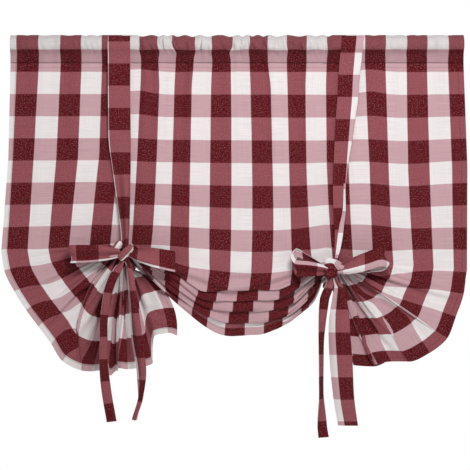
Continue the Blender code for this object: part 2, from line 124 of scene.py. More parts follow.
def column(table, i):
    """One column of a table of rows."""
    return [row[i] for row in table]


def stack_steps(t):
    """Fold number held level between creases and stepped at each, so bunched layers lie apart."""
    near = t - np.round(t)
    return np.round(t) + np.clip(near / 0.18, -1, 1) * 0.5


def crease_depth(t, table):
    """Depth that swings from crease to crease, held at each crease while the stack steps."""
    k = np.clip(np.floor(t), 0, FOLDS - 1).astype(int)
    f = np.clip((t - k - 0.1) / 0.8, 0, 1)
    table = np.asarray(table, float)
    return table[k] + (table[k + 1] - table[k]) * f * f * (3 - 2 * f)


def bunch_points(t, knot, fan_side):
    """The two ends of a row's short way through a bunch: (fan side, swag side), each x, y, z."""
    held = np.clip(stack_steps(t), 0, FOLDS)
    depth = crease_depth(t, BUNCH_DEPTH)
    fan_x = knot[0] + fan_side * smooth(held, FAN_STACK_T, FAN_STACK_OUT)
    fan_z = knot[1] + smooth(held, FAN_STACK_T, FAN_STACK_UP)
    swag_x = np.full_like(t, knot[0] - fan_side * BUNCH_HALF)
    swag_z = knot[1] + SWAG_STACK_UP[0] + (SWAG_STACK_UP[1] - SWAG_STACK_UP[0]) * held / FOLDS
    return np.stack([fan_x, depth, fan_z], -1), np.stack([swag_x, depth, swag_z], -1)


def drawn_u(t, ends):
    """The cloth's u in a bunch at fold number t, evenly between its two ends."""
    return ends[0] + (ends[1] - ends[0]) * t / FOLDS


def wing(t, s, edge, crease_v, bunch):
    """A fan: straight rows from the bunch (s 0) to the side edge (s 1), pleats easing outwards."""
    v = smooth(t, CREASES, crease_v)
    end = np.stack([smooth(v, column(edge, 0), column(edge, i)) for i in (1, 3, 2)], -1)
    start = bunch[:, None, :]
    place = start + (end[:, None, :] - start) * s[None, :, None]
    ease = (1 - s[None, :]) ** 0.8
    place[..., 1] = start[..., 1] * ease + end[:, None, 1] * (1 - ease)
    return place


def swag(t, s, left, right):
    """Rows hung from bunch to bunch, shared out evenly along each row's own curve."""
    low = smooth(t, CREASES, column(SWAG, 1))
    depth = smooth(np.clip(stack_steps(t), 0, FOLDS), CREASES, column(SWAG, 2))
    roundness = smooth(t, CREASES, SWAG_ROUND)[:, None]
    q = np.linspace(-1, 1, 81)[None, :]
    top = np.sqrt(1 + roundness**2)
    sag = (top - np.sqrt(q**2 + roundness**2)) / (top - roundness)
    way = (q + 1) / 2
    chord = left[:, None, :] * (1 - way[..., None]) + right[:, None, :] * way[..., None]
    x = chord[..., 0]
    middle = (left[:, 2] + right[:, 2])[:, None] / 2
    z = chord[..., 2] + (low[:, None] - middle) * sag
    y = chord[..., 1] * (1 - sag) + depth[:, None] * sag
    run = np.concatenate([np.zeros((len(t), 1)), np.cumsum(np.hypot(np.diff(x), np.diff(z)), 1)], 1)
    out = np.empty((len(t), len(s), 3))
    for row in range(len(t)):
        share = run[row] / run[row, -1]
        for axis, values in enumerate((x, y, z)):
            out[row, :, axis] = np.interp(s, share, values[row])
    return out


def hanging_x(u, drop):
    """Place across at u, a share drop of the way from the pocket to the first fold."""
    rows = [smooth(u, ACROSS_U, xs) for xs in (TOP_X, MID_X, LOW_X)]
    far = np.clip(drop, 0, 1)
    return np.where(
        far < 0.5,
        rows[0] + (rows[1] - rows[0]) * far * 2,
        rows[1] + (rows[2] - rows[1]) * (far * 2 - 1),
    )


def gather_wave(u, v):
    """Soft upright folds under the pocket, deepest between the straps, fading downwards."""
    between = np.exp(-(((u - 560) / 300) ** 4))
    amount = (1.6 + 3.0 * between) * np.clip(1.15 - v / 620, 0, 1)
    phase = u / 100 * 2 * np.pi
    return amount * (np.sin(phase + 0.6 * np.sin(u / 170)) + 0.35 * np.sin(2.3 * phase + 1))


def panel_grid(hang, folds, wing_s, swag_s):
    """Mid surface and flat coordinates of the panel, rows down and columns across."""
    t = np.concatenate([[0.0], folds])
    left_fan, left_swag = bunch_points(t, KNOT_LEFT, -1)
    right_fan, right_swag = bunch_points(t, KNOT_RIGHT, 1)
    place = np.concatenate([
        wing(t, wing_s, LEFT_EDGE, LEFT_CREASE_V, left_fan)[:, ::-1],
        swag(t, swag_s, left_swag, right_swag),
        wing(t, wing_s, RIGHT_EDGE, RIGHT_CREASE_V, right_fan),
    ], 1)
    left_v, right_v = smooth(t, CREASES, LEFT_CREASE_V), smooth(t, CREASES, RIGHT_CREASE_V)
    swag_v = smooth(t, CREASES, column(SWAG, 0))
    left_u, right_u = drawn_u(t, LEFT_DRAWN_U), drawn_u(t, RIGHT_DRAWN_U)
    near_left, near_right = (left_v + swag_v) / 2, (right_v + swag_v) / 2
    near_left[0] -= LEFT_SHORT
    ends = ((left_u - BUNCH_HALF)[:, None], (right_u + BUNCH_HALF)[:, None])
    mid = (left_u + BUNCH_HALF)[:, None] + (right_u - left_u - 2 * BUNCH_HALF)[:, None] * swag_s
    rise = np.cos((swag_s - 0.5) * np.pi)[None, :]
    knots_v = near_left[:, None] * (1 - swag_s) + near_right[:, None] * swag_s
    u = np.concatenate([
        ends[0] * (1 - wing_s[::-1]), mid, ends[1] + (WIDTH - ends[1]) * wing_s,
    ], 1)
    v = np.concatenate([
        near_left[:, None] + (left_v - near_left)[:, None] * wing_s[::-1],
        knots_v + (swag_v[:, None] - knots_v) * rise,
        near_right[:, None] + (right_v - near_right)[:, None] * wing_s,
    ], 1)
    drop = hang[:, None]
    foot = place[:1]
    hung_u = np.repeat(u[:1], len(hang), 0)
    hung_v = POCKET + (v[:1] - POCKET) * drop
    shift = foot[..., 0] - hanging_x(u[:1], 1.0)
    x = hanging_x(hung_u, drop) + shift * drop**3
    y = gather_wave(hung_u, hung_v) + (foot[..., 1] - gather_wave(u[:1], v[:1])) * drop**4
    z = -hung_v + (foot[..., 2] + v[:1]) * drop**3
    above = np.stack([x, y, z], -1)
    flat = np.stack([u, v], -1)
    hung_flat = np.stack([hung_u, hung_v], -1)
    return np.concatenate([above, place[1:]]), np.concatenate([hung_flat, flat[1:]])


def bisectors(grid, axis):
    """Mean of the unit steps into and out of each point, along one axis of a grid."""
    step = np.diff(grid, axis=axis)
    step /= np.linalg.norm(step, axis=-1, keepdims=True) + 1e-12
    first, last = np.take(step, [0], axis), np.take(step, [-1], axis)
    return (np.concatenate([first, step], axis) + np.concatenate([step, last], axis)) / 2


def normals(grid):
    """Normals of a grid, longer where rows turn sharply, so that an offset keeps its thickness."""
    down, across = bisectors(grid, 0), bisectors(grid, 1)
    n = np.cross(across, down)
    n /= np.linalg.norm(n, axis=-1, keepdims=True) + 1e-12
    return n / np.clip(np.linalg.norm(down, axis=-1), 0.9, 1)[..., None]


# Materials: colours as sRGB hex codes, and lengths in metres
BURGUNDY = "5c0a14"
WHITE_YARN = "ebe4e4"
BURGUNDY_WARP_OVER_WHITE = "914d54"
WHITE_WARP_OVER_BURGUNDY = "c7a1a7"
FACE_MIX = (BURGUNDY_WARP_OVER_WHITE, WHITE_WARP_OVER_BURGUNDY)
FLECK = "dcc0c4"
FLECK_SHARE = 0.16
CHECK_REPEAT = 0.1
WARP_START = 0.014
WEFT_START = 0.033
YARN_PITCH = 0.0007
YARN_WANDER = 0.0016
# How often per metre the noise of a yarn changes across it and along it.
YARN_FINE, YARN_LONG = 1400.0, 14.0
STRIPE_SHARPNESS = 14.0
BUMP_HEIGHT = 0.00012


def linear(code):
    """An sRGB hex code as linear light, by the sRGB curve."""
    c = np.array([int(code[i:i + 2], 16) for i in (0, 2, 4)]) / 255
    return [*np.where(c <= 0.04045, c / 12.92, ((c + 0.055) / 1.055) ** 2.4).tolist(), 1.0]


def add(tree, kind, fields=None, inputs=None):
    """One node: fields are its own settings, and inputs are values or sockets, by name or number."""
    node = tree.nodes.new(kind)
    for name, value in (fields or {}).items():
        setattr(node, name, value)
    for name, value in (inputs or {}).items():
        if isinstance(value, bpy.types.NodeSocket):
            tree.links.new(value, node.inputs[name])
        else:
            node.inputs[name].default_value = value
    return node


def woven_check(name, warp_mix, weft_mix, light=1.0, seam_shades=()):
    """Yarn-dyed cotton twill. A stripe is the sign of a sine of the repeat, softened over one yarn.

    A seam shade is a line of painted shade along a stitch, at one flat coordinate: 0 or 1 for u or v, its
    place, half width and strength.
    """
    material = bpy.data.materials.new(name)
    material.use_nodes = True
    tree = material.node_tree
    tree.nodes.clear()

    def maths(operation, a, b=0.0, c=0.0):
        """One sum of up to three values or sockets."""
        return add(tree, "ShaderNodeMath", {"operation": operation}, {0: a, 1: b, 2: c}).outputs[0]

    def clamp(value):
        """A socket held between 0 and 1."""
        return add(tree, "ShaderNodeClamp", None, {0: value}).outputs[0]

    def noise(scale, detail=2.0):
        """Noise over the flat cloth, stretched by a scale along each direction."""
        place = add(tree, "ShaderNodeMapping", None, {"Vector": flat, "Scale": scale}).outputs[0]
        return add(tree, "ShaderNodeTexNoise", {"noise_dimensions": "2D"},
                   {"Vector": place, "Scale": 1.0, "Detail": detail, "Roughness": 0.5}).outputs["Fac"]

    def wave(coordinate, length):
        """The sine of a coordinate, by its wave length."""
        return maths("SINE", maths("MULTIPLY", coordinate, 2 * np.pi / length))

    def stripe(coordinate, wander, start):
        """1 on the burgundy half of the repeat and 0 on the white half, with an edge that wanders."""
        shifted = maths("SUBTRACT", coordinate, start + YARN_WANDER / 2)
        along = maths("MULTIPLY_ADD", wander, YARN_WANDER, shifted)
        return clamp(maths("MULTIPLY_ADD", wave(along, CHECK_REPEAT), STRIPE_SHARPNESS, 0.5))

    def blend(amount, one, two):
        """A mix of two colours or sockets."""
        node = add(tree, "ShaderNodeMix", {"data_type": "RGBA"}, {"Factor": amount})
        for socket, value in ((node.inputs[6], one), (node.inputs[7], two)):
            if isinstance(value, bpy.types.NodeSocket):
                tree.links.new(value, socket)
            else:
                socket.default_value = value
        return node.outputs[2]

    flat = add(tree, "ShaderNodeUVMap", {"uv_map": "flat"}).outputs[0]
    apart = add(tree, "ShaderNodeSeparateXYZ", None, {0: flat})
    u, v = apart.outputs[0], apart.outputs[1]
    warp_yarns = noise((YARN_FINE, YARN_LONG, 1.0))
    weft_yarns = noise((YARN_LONG, YARN_FINE, 1.0))
    warp = stripe(u, warp_yarns, WARP_START)
    weft = stripe(v, weft_yarns, WEFT_START)
    crossing = maths("MULTIPLY", wave(maths("ADD", u, v), YARN_PITCH), wave(u, YARN_PITCH))
    slub = maths("MULTIPLY_ADD", weft_yarns, 0.9, maths("MULTIPLY", warp_yarns, 0.5))
    over = maths("MULTIPLY_ADD", crossing, 0.12, maths("MULTIPLY_ADD", slub, 0.9, -0.63))
    white_warp = blend(weft, linear(WHITE_YARN), linear(weft_mix))
    red_warp = blend(weft, linear(warp_mix), linear(BURGUNDY))
    base = blend(warp, white_warp, red_warp)
    fleck = clamp(maths("MULTIPLY_ADD", noise((400.0, 480.0, 1.0), 1.0), 7.0, -4.0))
    flecked = blend(maths("MULTIPLY", maths("MULTIPLY", fleck, warp), FLECK_SHARE), base, linear(FLECK))
    # A light below 1 paints the whole colour darker: painted shade.
    value = maths("MULTIPLY_ADD", over, 0.5 * light, light)
    # Each seam shade darkens the value along a line: the shade in the seam's groove at a stitch is painted.
    for coordinate, place, half, strength in seam_shades:
        near = maths("DIVIDE", maths("ABSOLUTE", maths("SUBTRACT", apart.outputs[coordinate], place)), half)
        line = clamp(maths("SUBTRACT", 1.0, near))
        value = maths("MULTIPLY", value, maths("MULTIPLY_ADD", line, -strength, 1.0))
    tint = add(tree, "ShaderNodeHueSaturation", None, {"Value": value, "Color": flecked}).outputs[0]
    height = maths("ADD", crossing, maths("MULTIPLY", slub, 1.6))
    bump = add(tree, "ShaderNodeBump", None,
               {"Height": height, "Distance": BUMP_HEIGHT, "Strength": 0.6}).outputs[0]
    shader = add(tree, "ShaderNodeBsdfPrincipled", None, {
        "Base Color": tint, "Roughness": 0.9, "IOR": 1.47, "Specular IOR Level": 0.15,
        "Sheen Weight": 0.03, "Sheen Roughness": 0.4, "Normal": bump})
    add(tree, "ShaderNodeOutputMaterial", None, {"Surface": shader.outputs[0]})
    return material


# Painted shade of the panel's seams, as dark lines along the stitching: under the rod, its turned edge, the
# foot's hem and the two side hems.
PANEL_SEAM_SHADES = (
    (1, 0.0655, 0.0015, 0.45), (1, 0.0735, 0.0014, 0.2), (1, 1.252, 0.0014, 0.4),
    (0, 0.012, 0.0013, 0.4), (0, 1.135, 0.0013, 0.4),
)
# Painted shade of the pocket's seam under the rod, as a dark line.
POCKET_SEAM_SHADES = ((1, 0.0622, 0.0016, 0.5),)
FACE_CLOTH = woven_check("cotton_twill_face", *FACE_MIX)
BACK_CLOTH = woven_check("cotton_twill_back", *FACE_MIX[::-1])
# The panel's cloth carries the seams' painted shade.
SEAM_SHADED_CLOTH = woven_check("cotton_twill_seam_shaded", *FACE_MIX, seam_shades=PANEL_SEAM_SHADES)
# Painted shade: the pocket's cloth is painted darker, at 0.8 of the value, for the shade on the cloth doubled
# over the rod.
POCKET_SHADED_CLOTH = woven_check("cotton_twill_pocket_shaded", *FACE_MIX, light=0.8, seam_shades=POCKET_SEAM_SHADES)


# Cloth pieces
def quads(index):
    """Faces of a grid of point numbers."""
    return np.stack([index[:-1, :-1], index[1:, :-1], index[1:, 1:], index[:-1, 1:]], -1).reshape(-1, 4)


def rim(front, back):
    """The band of faces that joins the edges of two grids of point numbers."""
    def around(grid):
        """The point numbers along the edge, once around."""
        return np.concatenate([grid[0, :-1], grid[:-1, -1], grid[-1, :0:-1], grid[:0:-1, 0]])
    a, b = around(front), around(back)
    return np.stack([a, np.roll(a, -1), np.roll(b, -1), b], -1)


def mesh_piece(name, points, faces, flat, materials, nodes):
    """A smooth mesh piece in metres with its flat map, riding on the root."""
    mesh = bpy.data.meshes.new(name)
    mesh.from_pydata((points * MM).tolist(), [], faces)
    loops = np.empty(len(mesh.loops), np.int32)
    mesh.loops.foreach_get("vertex_index", loops)
    layer = mesh.uv_layers.new(name="flat")
    layer.data.foreach_set("uv", (flat[loops] * MM).astype(np.float32).ravel())
    for material in materials:
        mesh.materials.append(material)
    mesh.polygons.foreach_set("use_smooth", np.ones(len(faces), bool))
    piece = bpy.data.objects.new(name, mesh)
    bpy.context.scene.collection.objects.link(piece)
    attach(piece, "root")
    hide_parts(*nodes)
    return piece


def cloth(name, grid, flat, thick, nodes, front=FACE_CLOTH):
    """A closed sheet of even thickness about a grid of mid points. Its face side looks along -normal."""
    rows, columns = grid.shape[:2]
    off = normals(grid) * thick / 2
    back = np.arange(rows * columns).reshape(rows, columns)
    face = back + rows * columns
    points = np.concatenate([(grid + off).reshape(-1, 3), (grid - off).reshape(-1, 3)])
    one, two, band = quads(back), quads(face)[:, ::-1], rim(back, face)
    faces = np.concatenate([one, two, band])
    reverse = np.concatenate([np.ones(len(one)), np.zeros(len(two)), np.zeros(len(band))])
    corner = points[faces[:, :3]]
    volume = np.einsum("ij,ij->i", corner[:, 0], np.cross(corner[:, 1], corner[:, 2])).sum()
    if volume <= 0:
        faces = faces[:, ::-1]
    both = np.concatenate([flat.reshape(-1, 2), flat.reshape(-1, 2)])
    piece = mesh_piece(name, points, faces.tolist(), both, (front, BACK_CLOTH), nodes)
    piece.data.polygons.foreach_set("material_index", reverse.astype(np.int32))
    piece.data.set_sharp_from_angle(angle=SHARP_ANGLE)
    return piece


# Panel
PLEAT_PITCH = 26.0
PLEAT_HEIGHT = 3.9


def fine_gathers(u, v):
    """Narrow upright folds under the rod, dying out downwards."""
    return 1.5 * np.exp(-(v - POCKET) / 150) * np.sin(2 * np.pi * u / 31 + 1.5 * np.sin(u / 47))


def rows_in_folds(step):
    """Row places by fold number, so close that no two rows are more than a step of cloth apart."""
    k = np.arange(FOLDS)
    spans = [np.abs(np.diff(table)) for table in (LEFT_CREASE_V, RIGHT_CREASE_V, column(SWAG, 0))]
    counts = np.maximum(np.ceil(np.max(spans, 0) / step), 6).astype(int)
    return np.concatenate([k[i] + np.arange(1, counts[i] + 1) / counts[i] for i in range(FOLDS)])


def pleat_depth(flat, drop, reach):
    """Radiating pleats: a sine along the cloth's length, deepest a third of the way out of a bunch."""
    near = np.clip(reach / 0.3, 0, 1)
    amount = (0.3 + 0.7 * near * near * (3 - 2 * near)) * (1 - reach) ** 0.8
    wave = np.sin(2 * np.pi * flat[..., 1] / PLEAT_PITCH + 2.0 * np.sin(flat[..., 0] / 60))
    return PLEAT_HEIGHT * amount[None, :] * drop[:, None] * wave


# Lap pleats of each fan: the fold line's hem place near the bunch and at the hem, the overlap there, and
# which side lies in front (1 for the cloth further along the hem).
LEFT_LAPS = [(640, 836, 22, 1), (900, 945, 17, 1), (975, 1000, 17, 1), (1060, 1084, 17, 1)]
RIGHT_LAPS = [(682, 688, 18, 1), (718, 792, 20, -1), (845, 893, 20, -1)]
LAP_HALF = 9.0
LAP_DEPTH = 3.6


def lap_pleats(fan, hem_v, out, laps):
    """Cloth run back under itself, about each fold line.

    It is a shift along the hem of -tanh and a step in depth of tanh. Also given is how free the cloth is
    to pleat, from 0 on a line to 1 away from all of them.
    """
    along = np.gradient(fan, axis=0)
    along[..., 1] = 0
    along /= np.linalg.norm(along, axis=-1, keepdims=True) + 1e-9
    near = np.sin(np.pi * np.clip(0.08 + 0.8 * out, 0, 1))[None, :]
    moved = fan.copy()
    free = np.ones(fan.shape[:2])
    for inner, outer, overlap, front in laps:
        across = (hem_v[:, None] - inner - (outer - inner) * out[None, :]) / LAP_HALF
        step = np.tanh(across) * np.exp(-((across / 3.4) ** 2)) * near
        moved -= along * (overlap * step * out[None, :])[..., None]
        moved[..., 1] -= front * LAP_DEPTH * step
        free = free * (1 - np.exp(-((across / 2.2) ** 4)))
    return moved, free


# How the hanging cloth strays from even gathers: to the right, and down, by the cloth's u.
STRAY_U = [264, 314, 364, 414, 464, 514, 564, 614, 664, 714, 764, 814, 864]
STRAY_X = [0, 1, 4, -1.5, -3.3, -2, 0.5, 1, 5.2, 0.5, -3.3, -2, 0]
DRIFT_U = [230, 350, 500, 650, 800, 900, 1000, 1100, 1147]
DRIFT_DOWN = [0, 5, 6.5, 7, 9, 5, 10, 3, 0]
# Cloth lifted beside each strap: u and half width, how far, and v and half height.
LIFTS = [(306, 42, 9, 125, 110), (925, 34, 8, 105, 80)]


def stray(flat, drop):
    """Shifts right and down of the hanging rows, both nothing at the pocket and at the first fold.

    Down is a half sine of the way down, skewed to its lower part, less a bump that lifts the cloth beside
    each strap.
    """
    u, v = flat[..., 0], flat[..., 1]
    way = drop[:, None]
    right = smooth(u, STRAY_U, STRAY_X) * np.clip((v - POCKET) / 50, 0, 1) * (1 - way**8)
    down = smooth(u, DRIFT_U, DRIFT_DOWN) * np.sin(np.pi * way**1.5)
    for beside, width, lift, high, tall in LIFTS:
        bump = np.exp(-(((u - beside) / width) ** 2) - ((v - high) / tall) ** 2)
        down = down - lift * bump * np.sin(np.pi * way**0.4)
    return right, down


# How far the rows have slid down above each fan's first lap, and run ahead below it, by the cloth's u.
LEFT_SLIP_U = [0, 14, 40, 90, 140, 190, 240, 300, 340]
LEFT_SLIP = [0, 0, 6, 33, 38, 38, 26, 8, 0]
LEFT_AHEAD = [0, 0, 0, 11, 36, 36, 20, 0, 0]
RIGHT_SLIP_U = [700, 740, 780, 812, 850, 890, 940, 990, 1040, 1090, 1147]
RIGHT_SLIP = [0, 22, 50, 60, 66, 66, 62, 38, 16, 5, 0]
RIGHT_AHEAD = [0, 0, 0, 0, 0, 0, 8, 30, 28, 13, 0]
SLIP_FROM_V = 440


def ramp(x, start, end):
    """A smooth step from 0 at start to 1 at end."""
    way = np.clip((x - start) / (end - start), 0, 1)
    return way * way * (3 - 2 * way)


def slip(v, down, ahead, full, line, fall, last):
    """Drop of the woven rows: it grows to v full and ends over fall, above the line of the first lap.

    Below the line the rows run ahead instead, until the two places in last.
    """
    beyond = 0.5 + 0.5 * np.tanh((v - line) / 5)
    above = down * ramp(v, SLIP_FROM_V, full) * (1 - ramp(v, *fall)) * (1 - beyond)
    return above - ahead * beyond * (1 - ramp(v, *last))


def swag_ripples(place, strength):
    """Slack creases from each knot down to the middle: a sine across a sloping line, alike in every layer."""
    x, z = place[..., 0] + 18, place[..., 2]
    half = np.tanh(x / 60)
    line = z - 0.34 * np.abs(x)
    long_wave = np.sin(2 * np.pi * line / 43 + 1.4 * np.sin(x / 47))
    short_wave = np.sin(2 * np.pi * line / 27 + half + x / 90)
    between = np.clip(1 - (np.abs(x) / 215) ** 4, 0, 1)
    return strength * between * (long_wave + 0.5 * short_wave)


# How far below an even curve the swag's first and its lowest fold hang, by x: the slack lies to the right.
FIRST_FULL_X = [-130, -102, -81, -57, -20, 39, 70, 100, 130, 166]
FIRST_FULL = [0, 9, 14, 10, 0, 0, 7, 13, 11, 0]
LOWEST_FULL_X = [0, 24, 55, 79, 103, 120, 145, 170, 182, 190]
LOWEST_FULL = [0, 5, 19, 27, 35, 38, 34, 28, 15, 0]


def fullness(x, t):
    """Drop of the swag at x and fold number t: it grows over the first fold, then nears the lowest's."""
    first, lowest = smooth(x, FIRST_FULL_X, FIRST_FULL), smooth(x, LOWEST_FULL_X, LOWEST_FULL)
    share = ramp(t, 1, 8)
    return (first * (1 - share) + lowest * share) * ramp(t, 0, 1)


hang_rows = np.linspace(0, 1, 42)
fold_rows = rows_in_folds(4.4)
wing_columns = np.linspace(0, 1, 34)
swag_columns = (1 - np.cos(np.linspace(0, np.pi, 80))) / 2 * 0.5 + np.linspace(0, 1, 80) * 0.5
panel, panel_flat = panel_grid(hang_rows, fold_rows, wing_columns, swag_columns)
fans = len(wing_columns)
folds_from = len(hang_rows)
slide = smooth(fold_rows, [0, 1, 2, 6, 9, 14], [0, 4, 24, 38, 48, 52])
panel_flat[folds_from:, fans:-fans, 0] += slide[:, None] * np.sin(np.pi * swag_columns)[None, :] ** 0.7
# The left fan's last folds swell to the right and up, half way out.
last_folds = np.clip((fold_rows - 12.2) / 1.8, 0, 1)
half_way = 4 * wing_columns * (1 - wing_columns) * ramp(wing_columns, 0, 0.22)
swell = last_folds[:, None] * half_way[::-1]
panel[folds_from:, :fans] += swell[..., None] * np.array([31.0, 0.0, 14.0])
free = np.ones(panel.shape[:2])
panel[folds_from:, :fans], free[folds_from:, :fans] = lap_pleats(
    panel[folds_from:, :fans], smooth(fold_rows, CREASES, LEFT_CREASE_V), wing_columns[::-1], LEFT_LAPS)
panel[folds_from:, -fans:], free[folds_from:, -fans:] = lap_pleats(
    panel[folds_from:, -fans:], smooth(fold_rows, CREASES, RIGHT_CREASE_V), wing_columns, RIGHT_LAPS)
# The top row reaches up past the pocket's stitch line.
panel[0, :, 2] = 4 - POCKET
pleated = np.concatenate([np.clip((hang_rows - 0.7) / 0.3, 0, 1) ** 2, np.ones(len(fold_rows))])
swag_reach = np.clip(np.minimum(swag_columns, 1 - swag_columns) / 0.35, 0, 1)
reach = np.concatenate([wing_columns[::-1], swag_reach, wing_columns])
panel[..., 1] += fine_gathers(panel_flat[..., 0], panel_flat[..., 1])
strayed, sunk = stray(panel_flat[:folds_from], hang_rows)
panel[:folds_from, :, 0] += strayed
panel[:folds_from, :, 2] -= sunk
panel[folds_from:, fans:-fans, 2] -= fullness(panel[folds_from:, fans:-fans, 0], fold_rows[:, None])
slack = np.concatenate([np.clip((hang_rows - 0.8) / 0.2, 0, 1) ** 2, np.ones(len(fold_rows))])
panel[..., 1] += swag_ripples(panel, 3.2 * slack[:, None])
panel = panel + normals(panel) * (free * pleat_depth(panel_flat, pleated, reach))[..., None]
u, v = panel_flat[..., 0], panel_flat[..., 1].copy()
left_lap = 846 - 196 * u / 276
right_lap = 687
# Between the bunches the rows beside the right one recover sooner than those of the fan.
right_fall = (np.where(u < RIGHT_DRAWN_U[0], 520, 630), np.where(u < RIGHT_DRAWN_U[0], 580, 690))
panel_flat[..., 1] -= slip(
    v, smooth(u, LEFT_SLIP_U, LEFT_SLIP), smooth(u, LEFT_SLIP_U, LEFT_AHEAD),
    700, left_lap, (900, 950), (800, 860))
panel_flat[..., 1] -= slip(
    v, smooth(u, RIGHT_SLIP_U, RIGHT_SLIP), smooth(u, RIGHT_SLIP_U, RIGHT_AHEAD),
    620, right_lap, right_fall, (800, 870))
cloth("panel_cloth", panel, panel_flat, PANEL_THICK, ["panel"],
      SEAM_SHADED_CLOTH)

# Rod pocket: height and half depth of its wall, and where the straps lie on it
ROD_HALF = [(-63, 1.2), (-55, 2.2), (-45, 3.8), (-38, 8), (-31, 13), (-21, 15), (-12, 14), (-4, 8), (0, 0)]
STRAP_TOP_X = (-265.0, 260.0)
# How far the squares on the roll stray to the right of those below it, by the cloth's u.
ROLL_U = [264, 314, 364, 414, 464, 514, 564, 614]
ROLL_X = [0, -4, -1.5, -8, 3.8, -1, 5, 0]


def clear_of_straps(x):
    """0 behind the straps and 1 away from them."""
    away = np.ones_like(x)
    for top_x in STRAP_TOP_X:
        away = away * (1 - np.exp(-(((x - top_x) / 44) ** 8)))
    return away


def pocket_bulge(x):
    """How far the gathers stand out past the rod, even behind the straps."""
    return 2.0 + clear_of_straps(x) * (2.2 + 1.9 * np.sin(x / 11) + 1.1 * np.sin(x / 6.3 + 1))


def pocket_sheet(u, down):
    """The pocket's wall as a grid: up the front from the stitch line, over the rod and down the back."""
    x = smooth(u, ACROSS_U, TOP_X)
    heights = np.array(column(ROD_HALF, 0), float)
    halves = np.array(column(ROD_HALF, 1), float)
    loop = np.concatenate([np.stack([-halves, heights], -1), np.stack([halves, heights], -1)[-2::-1]])
    way = np.arange(len(loop))
    fine = np.linspace(0, len(loop) - 1, down)
    loop = np.stack([smooth(fine, way, loop[:, 0]), smooth(fine, way, loop[:, 1])], -1)
    away = np.gradient(loop, axis=0)
    away = np.stack([-away[:, 1], away[:, 0]], -1)
    away /= np.linalg.norm(away, axis=1, keepdims=True) + 1e-9
    swell = np.exp(-(((loop[:, 1] + 20) / 17) ** 4))[:, None] * pocket_bulge(x)[None, :]
    down_share = np.clip(-loop[:, 1:] / POCKET, 0, 1)
    low = down_share**3 * (gather_wave(u, np.full_like(u, POCKET)) + fine_gathers(u, POCKET))
    front = np.clip(-away[:, :1], 0, 1)
    between = (0.35 + np.exp(-(((u - 560) / 330) ** 4))) * clear_of_straps(x)
    pinch = np.exp(-(((loop[:, 1:] + 38) / 11) ** 2)) * between
    crumple = np.exp(-(((loop[:, 1:] + 20) / 16) ** 2)) * between
    wrinkle = np.sin(u / 3.9 + 1.5 * np.sin(u / 19))
    wrinkle = wrinkle + 0.7 * np.sin(u / 2.6 + loop[:, 1:] / 6 + 2 * np.sin(u / 31))
    y = loop[:, :1] + away[:, :1] * swell + low - front * (1.7 * crumple + 0.9 * pinch) * wrinkle
    x = x + np.exp(-(((loop[:, 1:] + 12) / 24) ** 4)) * smooth(u, ROLL_U, ROLL_X)
    x = x + pinch * 2.6 * np.sin(u / 9.1 + 1.1 * np.sin(u / 23)) + crumple * 1.6 * np.sin(u / 5.3)
    crest = np.exp(-((loop[:, 1:] / 9) ** 2)) * clear_of_straps(x) * (0.5 + np.exp(-(((u - 560) / 380) ** 4)))
    z = loop[:, 1:] - 1.6 * crumple * (1 + np.sin(u / 13 + 2 * np.sin(u / 41)))
    z = np.minimum(z - 1.3 * crest * (1 + np.sin(u / 6.1 + 2 * np.sin(u / 33))), -0.6)
    place = np.stack([x, y, z], -1)
    v = np.repeat(-loop[:, 1:], len(u), 1) * np.where(fine < 8, 1, -1)[:, None]
    return place, np.stack([np.repeat(u[None, :], down, 0), v], -1)


pocket, pocket_flat = pocket_sheet(np.linspace(0, WIDTH, 640), 41)
# The pocket wears the cloth with painted shade.
cloth("pocket_cloth", pocket[::-1], pocket_flat[::-1], POCKET_THICK, ["rod_pocket"],
      POCKET_SHADED_CLOTH)

# Straps and bows
STRAP_CLOTH = 50.0
KNOT_HALF = (11.0, 9.0, 12.0)
KNOT_Y = -37.0


def ribbon(stations, rows, across, cut):
    """Grid of a strap from stations (x, y, z, width vector x, y, z, cupping), all in mm."""
    stations = np.asarray(stations, float)
    step = np.linalg.norm(np.diff(stations[:, :3], axis=0), axis=1)
    run = np.concatenate([[0], np.cumsum(step)])
    at = np.interp(np.linspace(0, len(run) - 1, rows), np.arange(len(run)), run)
    line = np.stack([smooth(at, run, stations[:, i]) for i in range(7)], -1)
    along = np.gradient(line[:, :3], axis=0)
    out = np.cross(along, line[:, 3:6])
    out /= np.linalg.norm(out, axis=1, keepdims=True)
    a = np.linspace(-0.5, 0.5, across)
    seen = np.linalg.norm(line[:, 3:6], axis=1)
    fold = seen / np.pi * np.sqrt(np.clip(0.88 * cut / seen - 1, 0, 2))
    cup = line[:, None, 6] * (1 - 4 * a**2)[None, :] + fold[:, None] * np.sin(2 * np.pi * a)[None, :]
    grid = line[:, None, :3] + line[:, None, 3:6] * a[None, :, None] + out[:, None, :] * cup[..., None]
    return grid, at


def strap(name, stations, start, nodes, rows=110, across=21, side=14.0, cut=STRAP_CLOTH):
    """A strap piece: the cloth's own length runs from start, and side moves the check across it."""
    grid, at = ribbon(stations, rows, across, cut)
    width = np.linspace(0, cut, across)
    flat = np.stack([
        np.repeat((width + side)[None, :], rows, 0), np.repeat((at + start)[:, None], across, 1)], -1)
    return cloth(name, grid, flat, STRAP_THICK, nodes)


def strap_front(knot, rows):
    """Down the front from the pocket's top; rows give z, x, width across, depth and cupping."""
    return [(x, y, z, width, 0, 0, cup) for z, x, width, y, cup in rows] + [
        (knot[0], KNOT_Y, knot[1] + KNOT_HALF[2] + 0.6, 16, 0, 0, 3),
    ]


LEFT_STRAP_ROWS = [
    (-3, -265, 50, -11, 0), (-10, -265, 50, -17.4, 0), (-21, -265, 50, -18.8, 0), (-31, -265, 50, -16.6, 0),
    (-42, -265, 50, -11.5, 0), (-55, -265, 50, -9, 0), (-100, -265, 50, -9, 0), (-220, -264, 50, -9, 0),
    (-330, -258, 36, -9, 4), (-430, -252, 20, -15, 6), (-462, -251, 16, -27, 4),
]
